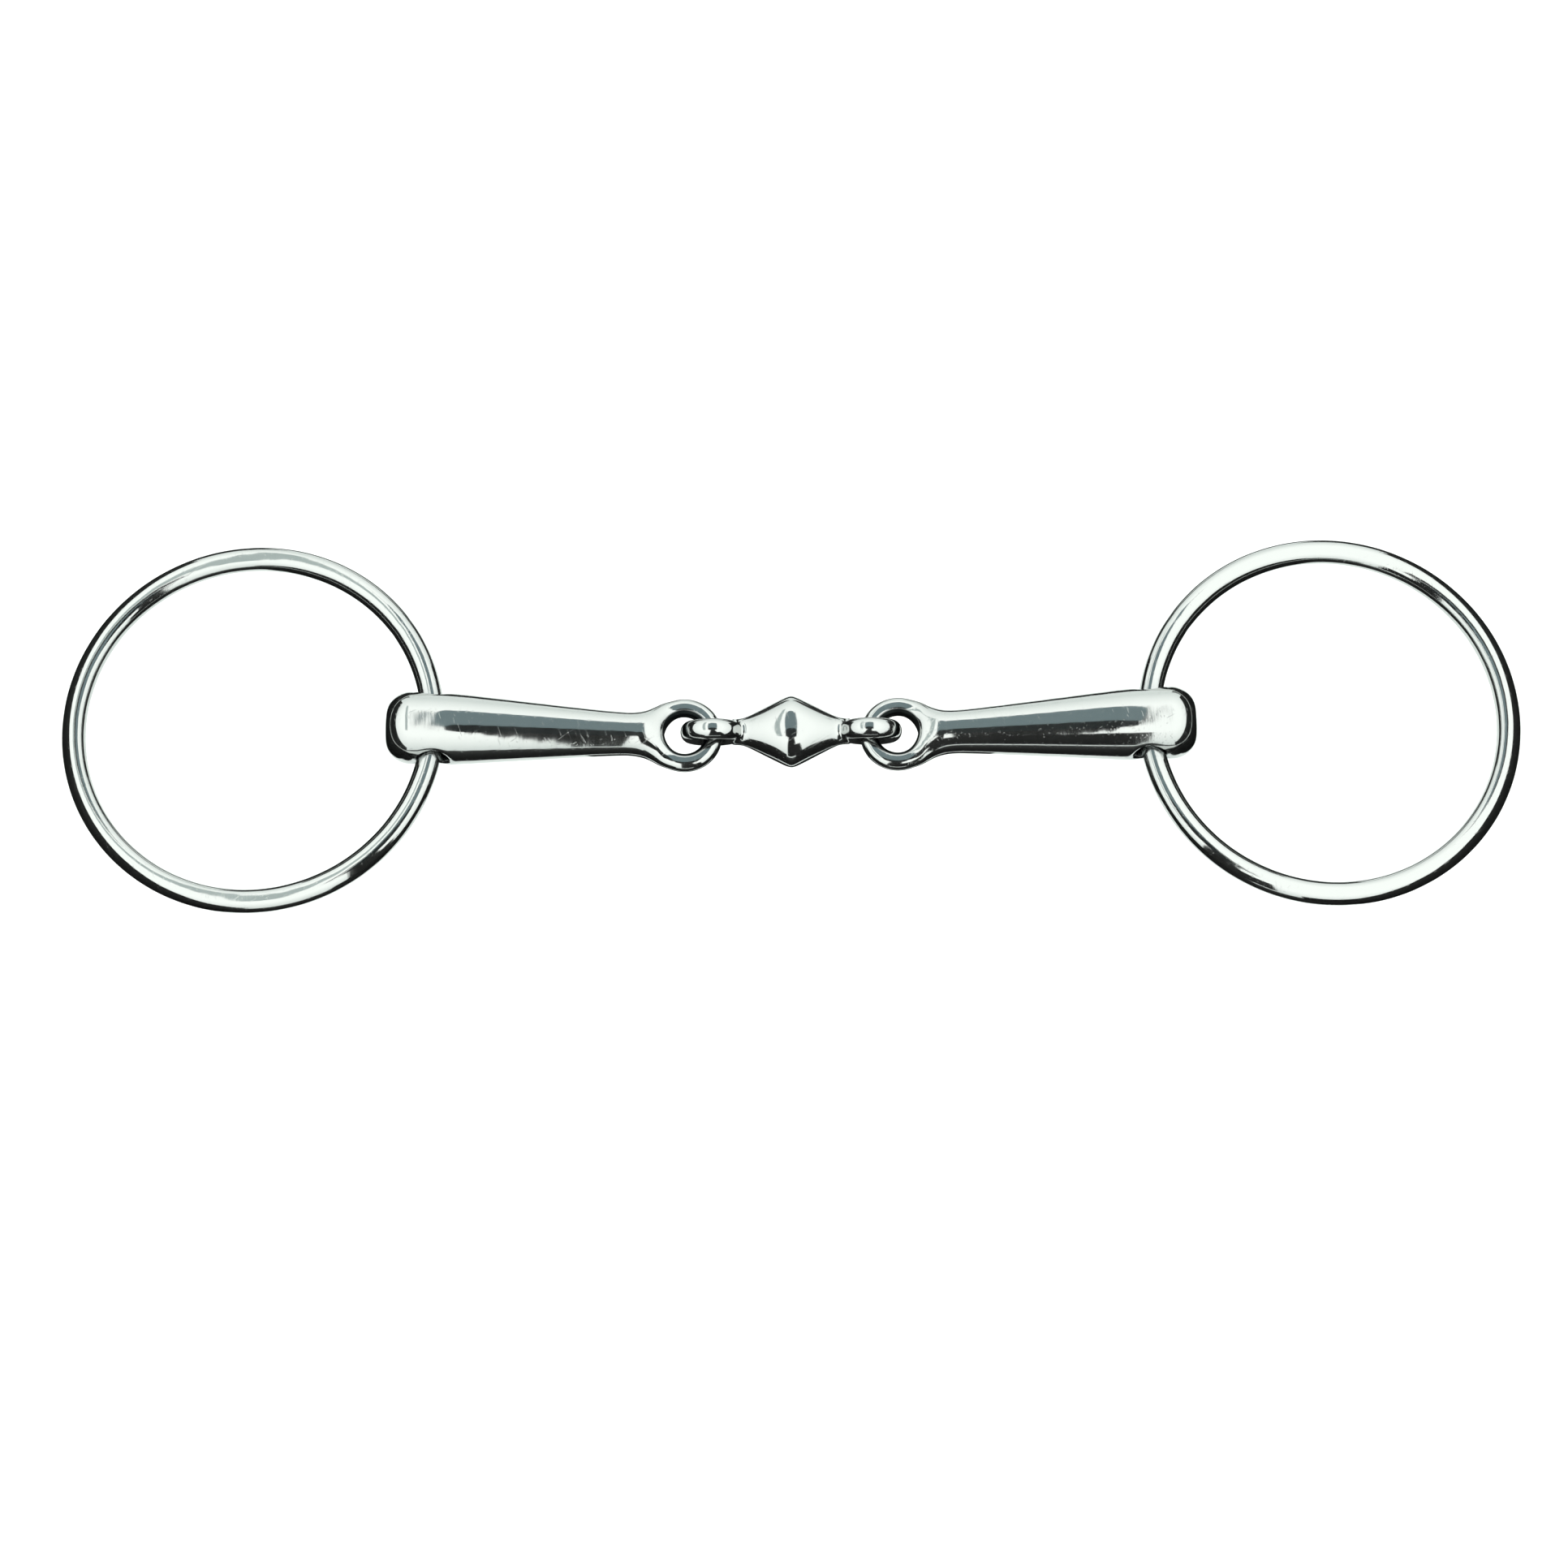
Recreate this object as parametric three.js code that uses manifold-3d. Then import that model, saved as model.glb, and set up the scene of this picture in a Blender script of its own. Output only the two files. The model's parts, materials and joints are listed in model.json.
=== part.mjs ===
// A loose-ring snaffle bit with a double-jointed mouthpiece and a lozenge link, lying on a flat surface.
//
// Five separate steel pieces hold each other like a chain: ring, cannon, lozenge link, cannon, ring.
// Millimetres. +Z is up, +X runs along the mouthpiece, and the origin lies on the surface under the
// middle of the bit.

import * as THREE from "three";
import { mergeVertices } from "three/addons/utils/BufferGeometryUtils.js";
import Module from "manifold-3d";

const wasm = await Module();
wasm.setup();

// Driving dimensions

const MOUTH_LENGTH = 115; // between the ring holes when held straight, the size a bit is sold by
const RING_OUTSIDE = 65;
const RING_WIRE = 4;

const RING_HOLE = 5.5; // bore through a cannon for its ring
const RING_HOLE_MOUTH = 7.2; // the bore's width where it opens out on the cannon's surface
const RING_HOLE_STRAIGHT = 7.6; // length of the bore between its flared mouths
const BARREL = 12.2; // a cannon's diameter at the ring hole
const BARREL_TIP = 8.1; // from the ring hole's axis to the cannon's outer end
const BARREL_CORNER = 3.5; // radius that rounds the barrel's outer end
const TIP_DOME = 0.7; // how far the end face bulges
const NECK = 7.1; // a cannon's smallest diameter, beside its eye
const NECK_FROM_EYE = 10.2;

const EYE_OUTSIDE = 12.8;
const EYE_RIM = 3; // thickness of the round rim of a cannon's eye

const LINK_BETWEEN_EYES = 36; // between the centres of the two cannons' eyes
const LOOP_BORE = 4.6; // hole through a loop of the lozenge link
const LOOP_WIRE = 3; // a loop's thickness, measured outwards from its hole
const LOOP_WIDTH = 3.5; // a loop's thickness along its own axis
const LOOP_SLACK = 0.25; // how far an eye's rim sits off the centre of the loop's hole, along and down
const LOZENGE_WIDTH = 12.6;
const LOZENGE_THICKNESS = 9.6;
const LOZENGE_RIDGE = 1.1; // half the length over which the widest part is rounded
const LINK_NECK = 4.8; // width of the link between the lozenge and a loop

// How the loose bit lies
const BEND = THREE.MathUtils.degToRad(1.6); // of the mouthpiece, at each eye
const LINK_ROLL = THREE.MathUtils.degToRad(10); // the link leans over between the eyes
const LINK_OFF = 0.5; // how far the link lies off the line between the eyes
const RING_OFF = 0.25; // how far each ring is drawn outwards in its loose hole

const STEEL = { color: 0xc9cccb, metalness: 1, roughness: 0.12 };

const RING_SIDES = 12;
const RING_STEPS = 64;
const RIM_SIDES = 12;
const RIM_STEPS = 32;
const BAR_SIDES = 24;
const CURVE_STEPS = 5;

// Worked-out dimensions

const ringRadius = (RING_OUTSIDE - RING_WIRE) / 2;
const eyeRadius = (EYE_OUTSIDE - EYE_RIM) / 2;
const rimRadius = EYE_RIM / 2;
const loopRadius = (LOOP_BORE + LOOP_WIRE) / 2;
const eyeX = LINK_BETWEEN_EYES / 2;
const cannonSpan = (MOUTH_LENGTH + RING_HOLE) / 2 - eyeX; // from a cannon's eye to its ring hole

// The ring bows across the straight bore by this much, and half of it to each side centres the wire.
const bow = (RING_HOLE_STRAIGHT / 2) ** 2 / (2 * ringRadius);
const ringCentre = ringRadius - bow / 2 + RING_OFF;

// The link stands on its loops, and each cannon's eye hangs in a loop while its barrel rests.
const loopFoot = Math.hypot((LOOP_WIRE / 2) * Math.cos(LINK_ROLL), (LOOP_WIDTH / 2) * Math.sin(LINK_ROLL));
const linkZ = loopRadius * Math.cos(LINK_ROLL) + loopFoot;
const eyeZ = linkZ - LOOP_SLACK;
const eyeY = -(cannonSpan + ringCentre) * Math.sin(BEND); // the rings' centres are on the X axis
const pitch = Math.asin((BARREL / 2 - eyeZ) / (cannonSpan - RING_HOLE / 2));
const holeZ = eyeZ + cannonSpan * Math.sin(pitch);
const ringLean = Math.asin((holeZ - RING_WIRE / 2) / (ringCentre + ringRadius));

// Solids

function solid(geometry) {
  const bare = new THREE.BufferGeometry();
  bare.setIndex(geometry.index);
  bare.setAttribute("position", geometry.getAttribute("position"));
  const merged = mergeVertices(bare, 1e-4);
  return new wasm.Manifold(
    new wasm.Mesh({
      numProp: 3,
      vertProperties: new Float32Array(merged.attributes.position.array),
      triVerts: new Uint32Array(merged.index.array),
    }),
  );
}

function geometryOf(manifold) {
  const mesh = manifold.getMesh();
  const geometry = new THREE.BufferGeometry();
  geometry.setAttribute("position", new THREE.BufferAttribute(mesh.vertProperties, 3));
  geometry.setIndex(new THREE.BufferAttribute(mesh.triVerts, 1));
  return geometry;
}

// A path of (distance along, half width) points turned about its own line, which becomes X.
function turned(path, sides) {
  const profile = path.getPoints(CURVE_STEPS).map((p) => new THREE.Vector2(p.y, p.x));
  return new THREE.LatheGeometry(profile, sides).rotateZ(-Math.PI / 2);
}

// Gives each station along X the half thickness that halfThickness(x, half width) returns.
function flattened(geometry, halfThickness) {
  const position = geometry.getAttribute("position");
  for (let i = 0; i < position.count; i++) {
    const halfWidth = Math.hypot(position.getY(i), position.getZ(i));
    if (halfWidth < 1e-6) continue;
    const share = halfThickness(position.getX(i), halfWidth) / halfWidth;
    position.setZ(i, position.getZ(i) * share);
  }
  return geometry;
}

// Ring: round bar bent to a circle and welded shut after it is threaded through its cannon.

function ring() {
  return new THREE.TorusGeometry(ringRadius, RING_WIRE / 2, RING_SIDES, RING_STEPS);
}

// Cannon: its eye's centre is the origin, and +X leads to the ring hole.

function cannonBar() {
  const shoulder = eyeRadius + rimRadius - 0.2; // just under the rim's outside, so that the two join
  const turn = THREE.MathUtils.degToRad(68); // where the outline leaves the eye for the neck
  const leave = new THREE.Vector2(Math.cos(turn), Math.sin(turn)).multiplyScalar(shoulder);
  const reach = (NECK_FROM_EYE - leave.x) * 0.42;
  const tip = cannonSpan + BARREL_TIP;
  const corner = tip - TIP_DOME - BARREL_CORNER;
  const flat = BARREL / 2 - BARREL_CORNER;

  const outline = new THREE.Path();
  outline.moveTo(0, 0);
  outline.lineTo(0, shoulder);
  outline.absarc(0, 0, shoulder, Math.PI / 2, turn, true);
  outline.bezierCurveTo(
    leave.x + reach * Math.sin(turn),
    leave.y - reach * Math.cos(turn),
    NECK_FROM_EYE - reach * 1.15,
    NECK / 2,
    NECK_FROM_EYE,
    NECK / 2,
  );
  outline.lineTo(cannonSpan - RING_HOLE / 2, BARREL / 2);
  outline.lineTo(corner, BARREL / 2);
  outline.absarc(corner, flat, BARREL_CORNER, Math.PI / 2, 0.35, true);
  outline.quadraticCurveTo(tip, flat * 0.6, tip, 0);

  // Round in section as far as the neck, then thinning to the rim's own thickness at the eye.
  return flattened(turned(outline, BAR_SIDES), (x, halfWidth) => {
    if (x >= NECK_FROM_EYE) return halfWidth;
    const share = THREE.MathUtils.smoothstep(x, eyeRadius - 0.8, NECK_FROM_EYE);
    return THREE.MathUtils.lerp(rimRadius - 0.05, NECK / 2, share);
  });
}

// What is taken out of the bar for the eye: the inside of the rim, open above and below.
function eyeOpening() {
  const tall = NECK;
  const outline = new THREE.Path();
  outline.moveTo(0, -tall);
  outline.lineTo(eyeRadius, -tall);
  outline.lineTo(eyeRadius, -rimRadius);
  outline.absarc(eyeRadius, 0, rimRadius - 0.08, -Math.PI / 2, Math.PI / 2, true);
  outline.lineTo(eyeRadius, tall);
  outline.lineTo(0, tall);
  return new THREE.LatheGeometry(outline.getPoints(CURVE_STEPS), RIM_STEPS).rotateX(Math.PI / 2);
}

function ringHole() {
  const straight = RING_HOLE_STRAIGHT / 2;
  const mouth = RING_HOLE_MOUTH / 2;
  const edge = BARREL / 2 + 0.2;
  const outline = new THREE.Path();
  outline.moveTo(0, -BARREL);
  outline.lineTo(mouth, -BARREL);
  outline.lineTo(mouth, -edge);
  outline.quadraticCurveTo(RING_HOLE / 2, -edge + 1.2, RING_HOLE / 2, -straight);
  outline.lineTo(RING_HOLE / 2, straight);
  outline.quadraticCurveTo(RING_HOLE / 2, edge - 1.2, mouth, edge);
  outline.lineTo(mouth, BARREL);
  outline.lineTo(0, BARREL);
  return new THREE.LatheGeometry(outline.getPoints(5), BAR_SIDES).translate(cannonSpan, 0, 0);
}

function cannon() {
  const rim = new THREE.TorusGeometry(eyeRadius, rimRadius, RIM_SIDES, RIM_STEPS);
  const body = solid(cannonBar()).subtract(solid(eyeOpening())).add(solid(rim));
  return geometryOf(body.subtract(solid(ringHole())));
}

// Lozenge link: a bar swelling to a ridge round its middle, with a loop at each end. The loops stand
// square to the cannons' eyes.

const loopX = eyeX - eyeRadius + LOOP_SLACK;

function lozenge() {
  const end = loopX - LOOP_BORE / 2 - LOOP_WIRE * 0.15;
  const root = loopX - loopRadius - LOOP_WIRE * 0.3; // where the lozenge swells out of the neck
  const side = (LOZENGE_WIDTH / 2 - LINK_NECK / 2) / root;
  const ridge = LOZENGE_WIDTH / 2 - side * LOZENGE_RIDGE * 0.9;
  const outline = new THREE.Path();
  outline.moveTo(-end, 0);
  outline.lineTo(-end, LINK_NECK * 0.36);
  outline.quadraticCurveTo(-end + 0.2, LINK_NECK / 2, -root - 1.2, LINK_NECK / 2);
  outline.quadraticCurveTo(-root, LINK_NECK / 2, -root + 1.5, LINK_NECK / 2 + side * 1.2);
  outline.lineTo(-LOZENGE_RIDGE, ridge);
  outline.quadraticCurveTo(0, LOZENGE_WIDTH / 2 + 0.1, LOZENGE_RIDGE, ridge);
  outline.lineTo(root - 1.5, LINK_NECK / 2 + side * 1.2);
  outline.quadraticCurveTo(root, LINK_NECK / 2, root + 1.2, LINK_NECK / 2);
  outline.quadraticCurveTo(end - 0.2, LINK_NECK / 2, end, LINK_NECK * 0.36);
  outline.lineTo(end, 0);
  const share = LOZENGE_THICKNESS / LOZENGE_WIDTH;
  return flattened(turned(outline, BAR_SIDES), (x, halfWidth) => halfWidth * share);
}

function loop(x) {
  return new THREE.TorusGeometry(loopRadius, LOOP_WIRE / 2, RIM_SIDES, RIM_STEPS)
    .scale(1, 1, LOOP_WIDTH / LOOP_WIRE)
    .rotateX(Math.PI / 2)
    .translate(x, 0, 0);
}

function link() {
  return geometryOf(solid(lozenge()).add(solid(loop(-loopX))).add(solid(loop(loopX))));
}

// Assembly

function piece(name, geometry) {
  const mesh = new THREE.Mesh(geometry, new THREE.MeshStandardMaterial(STEEL));
  mesh.name = name;
  return mesh;
}

// One cannon with its ring. outwards is the direction along X from the link to the ring.
function half(side, outwards) {
  const wholeRing = piece(`${side}_ring`, ring());
  wholeRing.position.x = ringCentre;
  const inItsHole = new THREE.Group().add(wholeRing);
  inItsHole.position.x = cannonSpan;
  inItsHole.rotation.y = ringLean + pitch; // the ring's far edge lies on the surface

  const group = new THREE.Group().add(piece(`${side}_cannon`, cannon()), inItsHole);
  group.position.set(outwards * eyeX, eyeY, eyeZ);
  group.rotation.set(0, -pitch, (outwards > 0 ? 0 : Math.PI) + outwards * BEND, "ZYX");
  return group;
}

const lozengeLink = piece("lozenge_link", link());
lozengeLink.position.set(0, eyeY + LINK_OFF, linkZ);
lozengeLink.rotation.x = LINK_ROLL;

const bit = new THREE.Group().add(lozengeLink, half("left", -1), half("right", 1));
export default bit;
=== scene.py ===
"""A loose-ring snaffle bit in mirror-polished stainless steel, as it lies on a flat surface.

The five loose pieces are a lozenge link, two cannons and two rings. Each is modelled as one smooth
skin in its own frame, in millimetres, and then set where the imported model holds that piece.
"""

import json
import math

import bpy
import numpy as np
from mathutils import Matrix, Vector


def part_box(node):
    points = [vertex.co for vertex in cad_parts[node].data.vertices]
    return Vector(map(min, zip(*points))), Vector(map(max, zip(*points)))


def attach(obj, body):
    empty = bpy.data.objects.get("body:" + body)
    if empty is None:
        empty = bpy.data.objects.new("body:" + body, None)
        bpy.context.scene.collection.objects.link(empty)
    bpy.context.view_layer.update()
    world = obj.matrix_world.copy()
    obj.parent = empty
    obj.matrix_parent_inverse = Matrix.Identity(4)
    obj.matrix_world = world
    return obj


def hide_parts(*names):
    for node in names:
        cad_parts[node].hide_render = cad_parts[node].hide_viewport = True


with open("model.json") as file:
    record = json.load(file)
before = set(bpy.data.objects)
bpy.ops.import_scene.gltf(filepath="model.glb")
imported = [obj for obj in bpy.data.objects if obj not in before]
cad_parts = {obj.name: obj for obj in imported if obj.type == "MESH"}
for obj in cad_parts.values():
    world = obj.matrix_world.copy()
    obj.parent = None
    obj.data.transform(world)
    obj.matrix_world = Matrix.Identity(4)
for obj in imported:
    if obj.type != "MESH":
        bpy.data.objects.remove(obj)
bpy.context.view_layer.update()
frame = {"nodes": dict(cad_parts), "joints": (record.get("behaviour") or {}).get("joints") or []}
joints = {joint["name"]: joint for joint in frame["joints"]}

# Sizes of the pieces, in millimetres
RING_WIRE = 4.0
RING_OUTSIDE = 65.0

RING_HOLE = 5.5
BARREL = 12.2
BARREL_TIP = 8.1
BARREL_CORNER = 3.5
TIP_DOME = 0.7
NECK = 7.1
NECK_FROM_EYE = 10.2
EYE_OUTSIDE = 12.8
EYE_RIM = 3.0
EYE_HOLE_CORNER = 1.2  # rounding between the eye's faces and its hole
HOLE_MOUTH = 1.7  # rounding where the ring hole meets the barrel

LOOP_BORE = 4.6
LOOP_WIRE = 3.0
LOOP_WIDTH = 3.5
LOOP_REACH = 13.35  # from the middle of the link to a loop's centre
LOZENGE_WIDTH = 12.1
LOZENGE_THICKNESS = 9.4
LINK_NECK = 3.5
RIDGE_BLUNT = 4.2  # how far each side of the middle the mop has rounded the ridge on top
RIDGE_KEEN = 0.7  # and where the ridge meets the outline
LINK_ROLL = math.radians(10)

SKIN = 0.27  # spacing of the points in a cannon's or the link's surface
RING_STEPS, RING_SIDES = 360, 48  # points round a ring and round its bar
WAVE_HEIGHT = 0.008  # of the unevenness that polishing leaves
WELD_DIP = 0.035  # what dressing a ring's weld has taken off the bar
WELD_REACH = 1.1
MM = 0.001


# Where each piece lies


def frame_of(origin, along, up):
    """A piece's own frame, in millimetres, as a matrix into the row frame, in metres."""
    along = Vector(along).normalized()
    across = Vector(up).cross(along).normalized()
    up = along.cross(across)
    turn = Matrix((along, across, up)).transposed().to_4x4()
    return Matrix.Translation(origin) @ turn @ Matrix.Scale(MM, 4)


def middle(node):
    low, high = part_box(node)
    return (low + high) / 2


def cannon_frame(side):
    """The eye's centre is the origin and +X leads to the ring hole."""
    eye = Vector(joints[f"{side}_cannon_fold"]["pos_m"])
    hole = Vector(joints[f"{side}_ring_swing"]["pos_m"])
    return frame_of(eye, hole - eye, up_of(joints[f"{side}_cannon_fold"]["axis"]))


def up_of(axis):
    return Vector(axis) if axis[2] > 0 else -Vector(axis)


def ring_frame(side):
    """The ring's centre is the origin, and the stretch in the cannon's hole lies at -X."""
    hole = Vector(joints[f"{side}_ring_swing"]["pos_m"])
    centre = middle(f"{side}_ring")
    outwards = centre - hole
    level = Vector(joints[f"{side}_ring_swing"]["axis"])
    return frame_of(centre, outwards, up_of(outwards.cross(level)))


def link_frame():
    lean = Vector((0, -math.sin(LINK_ROLL), math.cos(LINK_ROLL)))
    return frame_of(middle("lozenge_link"), (1, 0, 0), lean)


# Shapes, as signed distances from a piece's skin that are negative inside the steel


def smooth_least(a, b, blend):
    """The lesser of two distances, with the crease where they meet rounded over `blend`."""
    near = np.maximum(blend - np.abs(a - b), 0) / blend
    return np.minimum(a, b) - near**3 * blend / 6


def smooth_most(a, b, blend):
    return -smooth_least(-a, -b, blend)


def ease(value, start, end):
    t = np.clip((value - start) / (end - start), 0, 1)
    return t * t * (3 - 2 * t)


def rounded_corner(a, b, radius):
    """The corner between two faces, given each face's distance."""
    a, b = a + radius, b + radius
    outside = np.hypot(np.maximum(a, 0), np.maximum(b, 0))
    return outside + np.minimum(np.maximum(a, b), 0) - radius


def polish_waves(p, phase):
    """The slow unevenness that a hand-held polishing mop leaves."""
    x, y, z = p.T
    slow = np.sin(0.71 * x + 0.55 * y + phase) * np.cos(0.47 * z - 0.38 * x + 2 * phase)
    quick = np.sin(1.9 * x - 1.3 * y + 0.8 * z + 3 * phase) * 0.35
    return WAVE_HEIGHT * (slow + quick)


def cannon_skin(length, phase):
    """A round tapered bar that thins to a flat eye, with a ring hole through its thick end."""
    rim = EYE_RIM / 2
    tip = length + BARREL_TIP
    shoulder = length - RING_HOLE / 2
    taper = (BARREL - NECK) / 2 / (shoulder - NECK_FROM_EYE)

    def distance(p):
        x, y, z = p.T
        line = NECK / 2 + (x - NECK_FROM_EYE) * taper
        half_width = smooth_most(smooth_least(line, BARREL / 2, 0.45), NECK / 2, 0.7)
        # From flat at the eye to round before the neck
        rounded = ease(x, 1.5, NECK_FROM_EYE - 2.3)
        half_depth = rim + (half_width - rim) * rounded
        round_about = np.hypot(y, z * half_width / half_depth)
        side = (round_about - half_width) * math.cos(math.atan(taper))
        end = x - tip + TIP_DOME * (round_about / BARREL * 2) ** 2
        bar = np.maximum(rounded_corner(side, end, BARREL_CORNER), -x)

        from_eye = np.hypot(x, y)
        plate = rounded_corner(from_eye - EYE_OUTSIDE / 2, np.abs(z) - rim, rim)
        # The fillet between eye and neck is wide on the neck's side only.
        flare = 0.25 + 5.2 * ease(x, -1.0, 4.5)
        body = smooth_least(bar, plate, flare)
        eye_hole = EYE_OUTSIDE / 2 - EYE_RIM - from_eye
        body = rounded_corner(body, eye_hole, EYE_HOLE_CORNER)

        bore = np.hypot(x - length, z) - RING_HOLE / 2
        return smooth_most(body, -bore, HOLE_MOUTH) + polish_waves(p, phase)

    return distance


def link_skin(phase):
    """A flattened double cone whose necks run into two upright loops."""
    half_width = LOZENGE_WIDTH / 2
    share = LOZENGE_THICKNESS / LOZENGE_WIDTH
    loop = (LOOP_BORE + LOOP_WIRE) / 2
    root = LOOP_REACH - loop - LOOP_WIRE * 0.3  # where the bar runs into a loop
    bar_end = root + LOOP_WIRE / 2

    def distance(p):
        x, y, z = p.T
        reach = np.abs(x)
        ridge = RIDGE_KEEN + (RIDGE_BLUNT - RIDGE_KEEN) * z**2 / (y**2 + z**2 + 0.01)
        slope = (half_width - LINK_NECK / 2) / (np.hypot(root + 0.3, ridge) - ridge)
        cone = half_width - slope * (np.hypot(x, ridge) - ridge)
        half = smooth_most(cone, LINK_NECK / 2, 1.8)
        bar = (np.hypot(y, z / share) - half) * 0.92
        bar = smooth_most(bar, reach - bar_end, 1.4)
        off_tube = np.hypot(reach - LOOP_REACH, z) - loop
        loops = np.hypot(off_tube, y * LOOP_WIRE / LOOP_WIDTH) - LOOP_WIRE / 2
        # The fillet fades out before the loop's hole.
        web = 0.25 + 1.6 * (1 - ease(reach, root + 1.0, LOOP_REACH - LOOP_BORE / 2 + 0.2))
        return smooth_least(bar, loops, web) + polish_waves(p, phase)

    return distance


# Skins


def slope_of(distance, p):
    step = 1e-3
    gradient = np.empty_like(p)
    for axis in range(3):
        offset = np.zeros(3)
        offset[axis] = step
        gradient[:, axis] = (distance(p + offset) - distance(p - offset)) / (2 * step)
    return gradient


def settle(distance, p, rounds):
    """Moves points straight onto the skin."""
    for _ in range(rounds):
        gradient = slope_of(distance, p)
        steep = np.maximum((gradient**2).sum(1), 0.05)
        p = p - gradient * (distance(p) / steep)[:, None]
    return p


def points_of(mesh):
    p = np.empty(len(mesh.vertices) * 3)
    mesh.vertices.foreach_get("co", p)
    return p.reshape(-1, 3)


def blank(node, into_piece):
    """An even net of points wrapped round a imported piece, in that piece's own frame."""
    rough = frame["nodes"][node].data.copy()
    rough.transform(into_piece)
    holder = bpy.data.objects.new("blank", rough)
    bpy.context.scene.collection.objects.link(holder)
    wrap = holder.modifiers.new("wrap", "REMESH")
    wrap.mode = "VOXEL"
    wrap.voxel_size = SKIN
    wrap.use_smooth_shade = True
    even = bpy.data.meshes.new_from_object(
        holder.evaluated_get(bpy.context.evaluated_depsgraph_get())
    )
    bpy.data.objects.remove(holder)
    bpy.data.meshes.remove(rough)
    return even


def fit_to_skin(mesh, distance):
    """Lays the net on the skin, evens it out, and gives it the skin's own normals."""
    edges = np.empty(len(mesh.edges) * 2, int)
    mesh.edges.foreach_get("vertices", edges)
    a, b = edges.reshape(-1, 2).T
    count = len(mesh.vertices)
    linked = np.bincount(a, minlength=count) + np.bincount(b, minlength=count)
    p = settle(distance, points_of(mesh), 4)
    for _ in range(6):
        mean = np.empty_like(p)
        for axis in range(3):
            from_a = np.bincount(a, p[b, axis], count)
            from_b = np.bincount(b, p[a, axis], count)
            mean[:, axis] = (from_a + from_b) / linked
        p = settle(distance, p + 0.5 * (mean - p), 1)
    p = settle(distance, p, 2)
    mesh.vertices.foreach_set("co", p.ravel())
    mesh.update()
    normals = slope_of(distance, p)
    normals /= np.linalg.norm(normals, axis=1)[:, None]
    mesh.normals_split_custom_set_from_vertices(normals)
    return mesh


def skinned_piece(name, node, place, distance, material):
    mesh = fit_to_skin(blank(node, place.inverted()), distance)
    return put_in_place(name, node, mesh, place, material)


def put_in_place(name, node, mesh, place, material):
    """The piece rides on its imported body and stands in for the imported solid."""
    mesh.name = name
    own = mesh.attributes.new("own_mm", "FLOAT_VECTOR", "POINT")
    own.data.foreach_set("vector", points_of(mesh).ravel())
    mesh.transform(place)
    mesh.materials.clear()
    mesh.materials.append(material)
    piece = bpy.data.objects.new(name, mesh)
    bpy.context.scene.collection.objects.link(piece)
    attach(piece, node)
    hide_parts(node)
    return piece


def ring_mesh(phase):
    """Round bar bent to a circle. Where its ends are welded and dressed, it is a hair thinner."""
    radius = (RING_OUTSIDE - RING_WIRE) / 2
    turn = np.linspace(0, 2 * np.pi, RING_STEPS, endpoint=False)
    about = np.linspace(0, 2 * np.pi, RING_SIDES, endpoint=False)
    turn, about = (grid.ravel() for grid in np.meshgrid(turn, about, indexing="ij"))
    weld = math.copysign(math.radians(144), phase)
    from_weld = np.abs((turn - weld + math.pi) % (2 * math.pi) - math.pi) * radius
    dressed = WELD_DIP * np.exp(-((from_weld / WELD_REACH) ** 2))
    bar = RING_WIRE / 2 - dressed
    out = radius + bar * np.cos(about)
    p = np.stack([out * np.cos(turn), out * np.sin(turn), bar * np.sin(about)], 1)
    away = np.stack(
        [np.cos(about) * np.cos(turn), np.cos(about) * np.sin(turn), np.sin(about)], 1
    )
    p += away * polish_waves(p, phase)[:, None]

    faces = []
    for i in range(RING_STEPS):
        here, ahead = i * RING_SIDES, (i + 1) % RING_STEPS * RING_SIDES
        for j in range(RING_SIDES):
            j2 = (j + 1) % RING_SIDES
            faces.append((here + j, ahead + j, ahead + j2, here + j2))
    mesh = bpy.data.meshes.new("ring")
    mesh.from_pydata(p.tolist(), [], faces)
    mesh.shade_smooth()
    return mesh


# Materials


def linear(hex_colour):
    """An sRGB hex colour as linear RGBA."""
    parts = [int(hex_colour[i : i + 2], 16) / 255 for i in (1, 3, 5)]
    return (
        *[c / 12.92 if c <= 0.04045 else ((c + 0.055) / 1.055) ** 2.4 for c in parts],
        1,
    )


def add_node(tree, kind, settings=None, **inputs):
    """Adds one node. Each input is a value, or another node's output."""
    node = tree.nodes.new(kind)
    for name, value in (settings or {}).items():
        setattr(node, name, value)
    for name, value in inputs.items():
        socket = node.inputs[int(name[1:])] if name[0] == "_" else node.inputs[name]
        if isinstance(value, bpy.types.NodeSocket):
            tree.links.new(value, socket)
        else:
            socket.default_value = value
    return node


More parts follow.
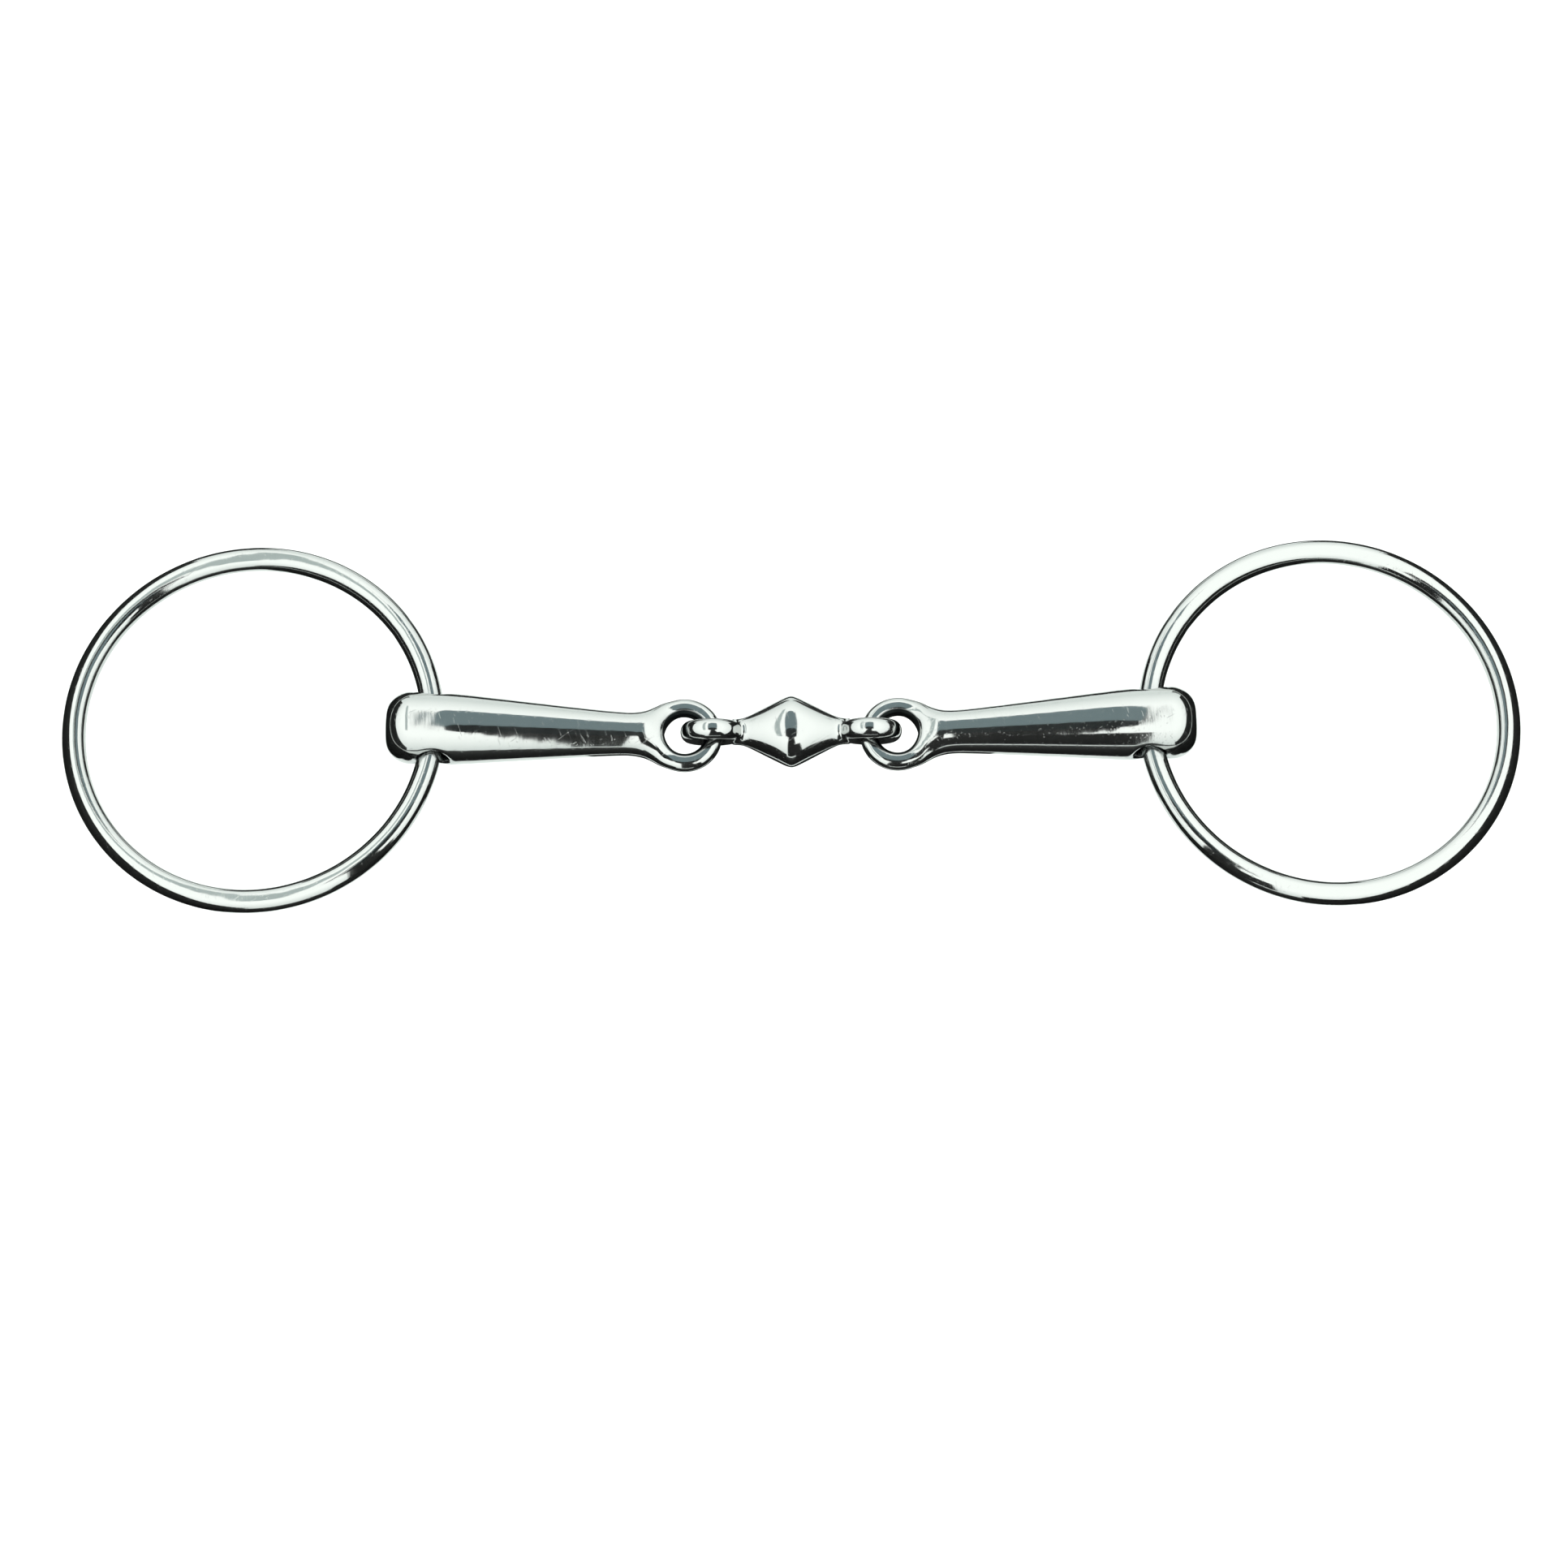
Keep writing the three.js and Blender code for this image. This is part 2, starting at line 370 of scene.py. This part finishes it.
def steel_of(name, rubbed_at, holes_matt_and_painted_dark_at=()):
    """Cast stainless steel, ground, then polished to a mirror on a mop.

    The eye sees crisp reflections, blurred a little along the mop's fine lines, a few hairline
    scratches from the tack room, smudges from handling, and a duller bed wherever another
    piece has rubbed. Round the inside of each eye and loop hole the steel is rougher, and its
    colour there is painted dark as a painted dark reflection of the hole's rim and wall.
    `rubbed_at` lists the rubbed places, and the last argument lists the places of the painted dark
    reflection. Each place is a point and a reach, in millimetres.
    """
    material = bpy.data.materials.new(name)
    material.use_nodes = True
    tree = material.node_tree
    tree.nodes.clear()
    place = add_node(
        tree, "ShaderNodeAttribute", {"attribute_name": "own_mm"}
    ).outputs["Vector"]

    # Each layer of noise has cycles per millimetre along each axis of the turned piece, the
    # turn in degrees, the detail, and the two levels between which it fades in. A mop's lines
    # lie 0.05 mm apart and hairlines are 0.02 mm wide. They are drawn 0.35 mm apart and
    # 0.12 mm wide, so that they show.
    layers = {}
    for layer, stretch, turn, detail, start, end in (
        ("mop_lines", (2.8, 0.16, 0.16), (0, 0, 4), 3.0, 0.3, 0.7),
        ("scratches_along", (0.09, 3.4, 3.4), (12, 8, 34), 0.0, 0.75, 0.775),
        ("scratches_across", (3.1, 0.08, 3.1), (-20, 15, 17), 0.0, 0.75, 0.775),
        ("smudges", (0.11, 0.14, 0.14), (0, 0, 25), 3.0, 0.42, 0.68),
        ("pits", (1.7, 1.7, 1.7), (0, 0, 0), 1.0, 0.74, 0.80),
        ("patches", (0.9, 0.9, 0.9), (0, 0, 0), 2.0, 0.15, 0.65),
    ):
        turned = add_node(
            tree,
            "ShaderNodeMapping",
            {"vector_type": "TEXTURE"},
            Vector=place,
            Rotation=[math.radians(angle) for angle in turn],
        )
        scaled = add_node(
            tree,
            "ShaderNodeVectorMath",
            {"operation": "MULTIPLY"},
            _0=turned.outputs[0],
            _1=stretch,
        )
        noise = add_node(
            tree,
            "ShaderNodeTexNoise",
            Vector=scaled.outputs[0],
            Scale=1.0,
            Detail=detail,
        )
        layers[layer] = add_node(
            tree, "ShaderNodeMapRange", _0=noise.outputs["Fac"], _1=start, _2=end
        ).outputs[0]

    # Both kinds of place are balls about their points, full out to a share of their reach.
    # The beds are real wear. The holes get a rougher finish and a painted dark reflection.
    for layer, places, full in (("beds", rubbed_at, 0.55), ("matt_and_painted_dark_holes", holes_matt_and_painted_dark_at, 0.94)):
        layers[layer] = 0.0
        for point, reach in places:
            off = add_node(
                tree, "ShaderNodeVectorMath", {"operation": "DISTANCE"}, _0=place, _1=point
            ).outputs["Value"]
            ball = add_node(
                tree, "ShaderNodeMapRange", _0=off, _1=reach, _2=reach * full
            ).outputs[0]
            layers[layer] = add_node(
                tree, "ShaderNodeMath", {"operation": "MAXIMUM"}, _0=layers[layer], _1=ball
            ).outputs[0]
    layers["rubbed"] = add_node(
        tree,
        "ShaderNodeMath",
        {"operation": "MULTIPLY"},
        _0=layers["beds"],
        _1=layers["patches"],
    ).outputs[0]

    # A new mirror's blur and height, and what each layer adds to them. Heights are in mm.
    totals = {"blur": 0.06, "height": 0.0}
    for total, layer, share in (
        ("blur", "mop_lines", 0.040),
        ("blur", "scratches_along", 0.10),
        ("blur", "scratches_across", 0.10),
        ("blur", "smudges", 0.035),
        ("blur", "rubbed", 0.15),
        ("blur", "matt_and_painted_dark_holes", 0.25),
        ("height", "mop_lines", 0.0011),
        ("height", "scratches_along", -0.0022),
        ("height", "scratches_across", -0.0022),
        ("height", "pits", -0.004),
    ):
        if layer == "matt_and_painted_dark_holes" and not holes_matt_and_painted_dark_at:
            continue
        totals[total] = add_node(
            tree,
            "ShaderNodeMath",
            {"operation": "MULTIPLY_ADD"},
            _0=layers[layer],
            _1=share,
            _2=totals[total],
        ).outputs[0]
    bump = add_node(tree, "ShaderNodeBump", Strength=1.0, Distance=MM, Height=totals["height"])
    colour = add_node(
        tree,
        "ShaderNodeMix",
        {"data_type": "RGBA"},
        _0=layers["rubbed"],
        _6=linear("#cdcfcd"),
        _7=linear("#b4b8b8"),
    )
    # Painted dark reflection: round the inside of each eye and loop hole the colour goes to near
    # black.
    if holes_matt_and_painted_dark_at:
        colour = add_node(
            tree,
            "ShaderNodeMix",
            {"data_type": "RGBA"},
            _0=layers["matt_and_painted_dark_holes"],
            _6=colour.outputs[2],
            _7=linear("#262a2a"),
        )

    shader = add_node(
        tree,
        "ShaderNodeBsdfPrincipled",
        **{
            "Base Color": colour.outputs[2],
            "Metallic": 1.0,
            "Roughness": totals["blur"],
            "Normal": bump.outputs["Normal"],
        },
    )
    add_node(tree, "ShaderNodeOutputMaterial", Surface=shader.outputs["BSDF"])
    return material


def plain(name, colour):
    """A flat matt sheet of the studio."""
    material = bpy.data.materials.new(name)
    material.use_nodes = True
    shader = material.node_tree.nodes["Principled BSDF"]
    shader.inputs["Base Color"].default_value = linear(colour)
    shader.inputs["Roughness"].default_value = 0.9
    return material


# The pieces

half_ring = (RING_OUTSIDE - RING_WIRE) / 2
ring_steel = steel_of("mirror_polished_stainless_rings", [((-half_ring, 0, 0), 8.0)])
link_steel = steel_of(
    "mirror_polished_stainless_link",
    [((LOOP_REACH, 0, 0), 3.4), ((-LOOP_REACH, 0, 0), 3.4)],
    # Painted dark reflection inside both loop holes
    [((LOOP_REACH, 0, 0), 2.5), ((-LOOP_REACH, 0, 0), 2.5)],
)
for side, phase in (("left", -1.3), ("right", 0.9)):
    eye = Vector(joints[f"{side}_cannon_fold"]["pos_m"])
    hole = Vector(joints[f"{side}_ring_swing"]["pos_m"])
    length = (hole - eye).length / MM
    cannon_steel = steel_of(
        f"mirror_polished_stainless_{side}_cannon",
        [((0, 0, 0), 5.2), ((length, -BARREL / 2, 0), 4.6), ((length, BARREL / 2, 0), 4.6)],
        # Painted dark reflection inside the eye's hole
        [((0, 0, 0), 4.5)],
    )
    skinned_piece(
        f"{side}_cannon_polished",
        f"{side}_cannon",
        cannon_frame(side),
        cannon_skin(length, phase),
        cannon_steel,
    )
    put_in_place(
        f"{side}_ring_polished",
        f"{side}_ring",
        ring_mesh(phase),
        ring_frame(side),
        ring_steel,
    )
skinned_piece(
    "lozenge_link_polished", "lozenge_link", link_frame(), link_skin(0.4), link_steel
)

# Surface, light and camera

CAMERA_HEIGHT = math.radians(71)
CAMERA_ROLL = math.radians(0.4)
CAMERA_DISTANCE = 1.2
FRAME_WIDTH = 0.2643
AIM_RIGHT = -0.0012
AIM_UP = -0.0102
BIT_MIDDLE = Vector((0, 0, 0.005))
PAPER_HEIGHT = -0.062


def sheet(name, corners, material):
    """A flat sheet that is part of the studio and not of the bit."""
    mesh = bpy.data.meshes.new(name)
    mesh.from_pydata(corners, [], [tuple(range(len(corners)))])
    mesh.materials.append(material)
    made = bpy.data.objects.new(name, mesh)
    bpy.context.scene.collection.objects.link(made)
    return made


def upright(y, left, right, low, high):
    return [(left, y, low), (right, y, low), (right, y, high), (left, y, high)]


def sideways(x, near, far, low, high):
    return [(x, near, low), (x, far, low), (x, far, high), (x, near, high)]


def level(z, left, right, near, far):
    return [(left, near, z), (right, near, z), (right, far, z), (left, far, z)]


def oval(z, left, right, near, far, squareness):
    """A level card with rounded ends: 1 makes an ellipse, and less squares it off."""
    corners = []
    for angle in np.linspace(0, 2 * math.pi, 48, endpoint=False):
        across, along = math.cos(angle), math.sin(angle)
        across = math.copysign(abs(across) ** squareness, across)
        along = math.copysign(abs(along) ** squareness, along)
        x = (left + right) / 2 + across * (right - left) / 2
        y = (near + far) / 2 + along * (far - near) / 2
        corners.append((x, y, z))
    return corners


# The bit lies as if on clear glass, high enough over the paper for a ring to hang free.
# The steel mirrors the cards under the glass and not the paper.
paper = plain("white_paper", "#fafafa")
floor = sheet("floor", level(PAPER_HEIGHT, -3, 3, -3, 3), paper)
floor.visible_glossy = False

# Cards that only the steel mirrors: they cast no shadow and stand in no view. The grey ones
# over the bit make the pools along the barrels, and the black ones the dark outlines.
black = plain("black_card", "#050505")
grey = plain("grey_card", "#6f7e83")
pale = plain("pale_card", "#b4bdbd")
dark = plain("dark_card", "#1b2224")
for name, corners, colour in (
    ("card_over_bit", oval(0.20, -0.060, 0.055, -0.10, 0.19, 0.7), grey),
    ("card_over_front", oval(0.19, -0.052, 0.052, -0.10, -0.012, 0.7), dark),
    ("card_in_front", upright(-0.10, -0.026, 0.030, 0.09, 0.20), black),
    ("card_low_in_front", upright(-0.10, -0.026, 0.062, 0.008, 0.10), black),
    ("card_low_right", upright(-0.10, 0.078, 0.115, -0.02, 0.022), black),
    ("card_beside_left", sideways(-0.058, -0.10, 0.19, 0.20, 0.60), black),
    ("card_beside_right", sideways(0.053, -0.10, 0.19, 0.20, 0.60), black),
    ("card_over_left", level(0.21, -0.145, -0.10, -0.10, 0.30), pale),
    ("card_left", sideways(-0.165, -0.5, 0.2, -0.10, 0.055), black),
    ("card_right", sideways(0.165, -0.5, 0.2, -0.10, 0.055), black),
    ("card_under_left", level(-0.10, -1.60, -0.11, -1.5, 1.5), black),
    ("card_under_right", level(-0.10, 0.11, 1.60, -1.5, 1.5), black),
    ("card_under_front", level(-0.10, -0.11, 0.11, -1.5, -0.07), black),
    ("card_under_back", level(-0.10, -0.11, 0.11, 0.12, 0.25), black),
    ("card_under_link", level(-0.02, -0.034, 0.034, -0.018, 0.018), black),
):
    card = sheet(name, corners, colour)
    card.visible_camera = False
    card.visible_diffuse = False
    card.visible_shadow = False

# A white tent, a little less bright towards the ground
world = bpy.data.worlds.new("studio")
world.use_nodes = True
sky = world.node_tree
height = add_node(sky, "ShaderNodeTexCoord").outputs["Generated"]
height = add_node(sky, "ShaderNodeSeparateXYZ", _0=height).outputs["Z"]
height = add_node(sky, "ShaderNodeMapRange", _0=height, _1=0.0, _2=0.75).outputs[0]
tent = add_node(
    sky,
    "ShaderNodeMix",
    {"data_type": "RGBA"},
    _0=height,
    _6=linear("#d3dad7"),
    _7=linear("#fbfffc"),
)
background = sky.nodes["Background"]
sky.links.new(tent.outputs[2], background.inputs["Color"])
background.inputs["Strength"].default_value = 1.6
scene = bpy.context.scene
scene.world = world
scene.view_settings.view_transform = "Standard"

camera_data = bpy.data.cameras.new("camera")
camera_data.lens = camera_data.sensor_width * CAMERA_DISTANCE / FRAME_WIDTH
camera_data.clip_start = 0.01
camera = bpy.data.objects.new("camera", camera_data)
scene.collection.objects.link(camera)
back = Vector((0, -math.cos(CAMERA_HEIGHT), math.sin(CAMERA_HEIGHT)))
right = Vector((1, 0, 0))
up = back.cross(right)
right, up = (
    right * math.cos(CAMERA_ROLL) - up * math.sin(CAMERA_ROLL),
    up * math.cos(CAMERA_ROLL) + right * math.sin(CAMERA_ROLL),
)
camera.location = BIT_MIDDLE + back * CAMERA_DISTANCE
back = (camera.location - BIT_MIDDLE - right * AIM_RIGHT - up * AIM_UP).normalized()
right = up.cross(back).normalized()
up = back.cross(right)
camera.rotation_mode = "QUATERNION"
camera.rotation_quaternion = Matrix((right, up, back)).transposed().to_quaternion()
scene.camera = camera

bpy.context.view_layer.update()
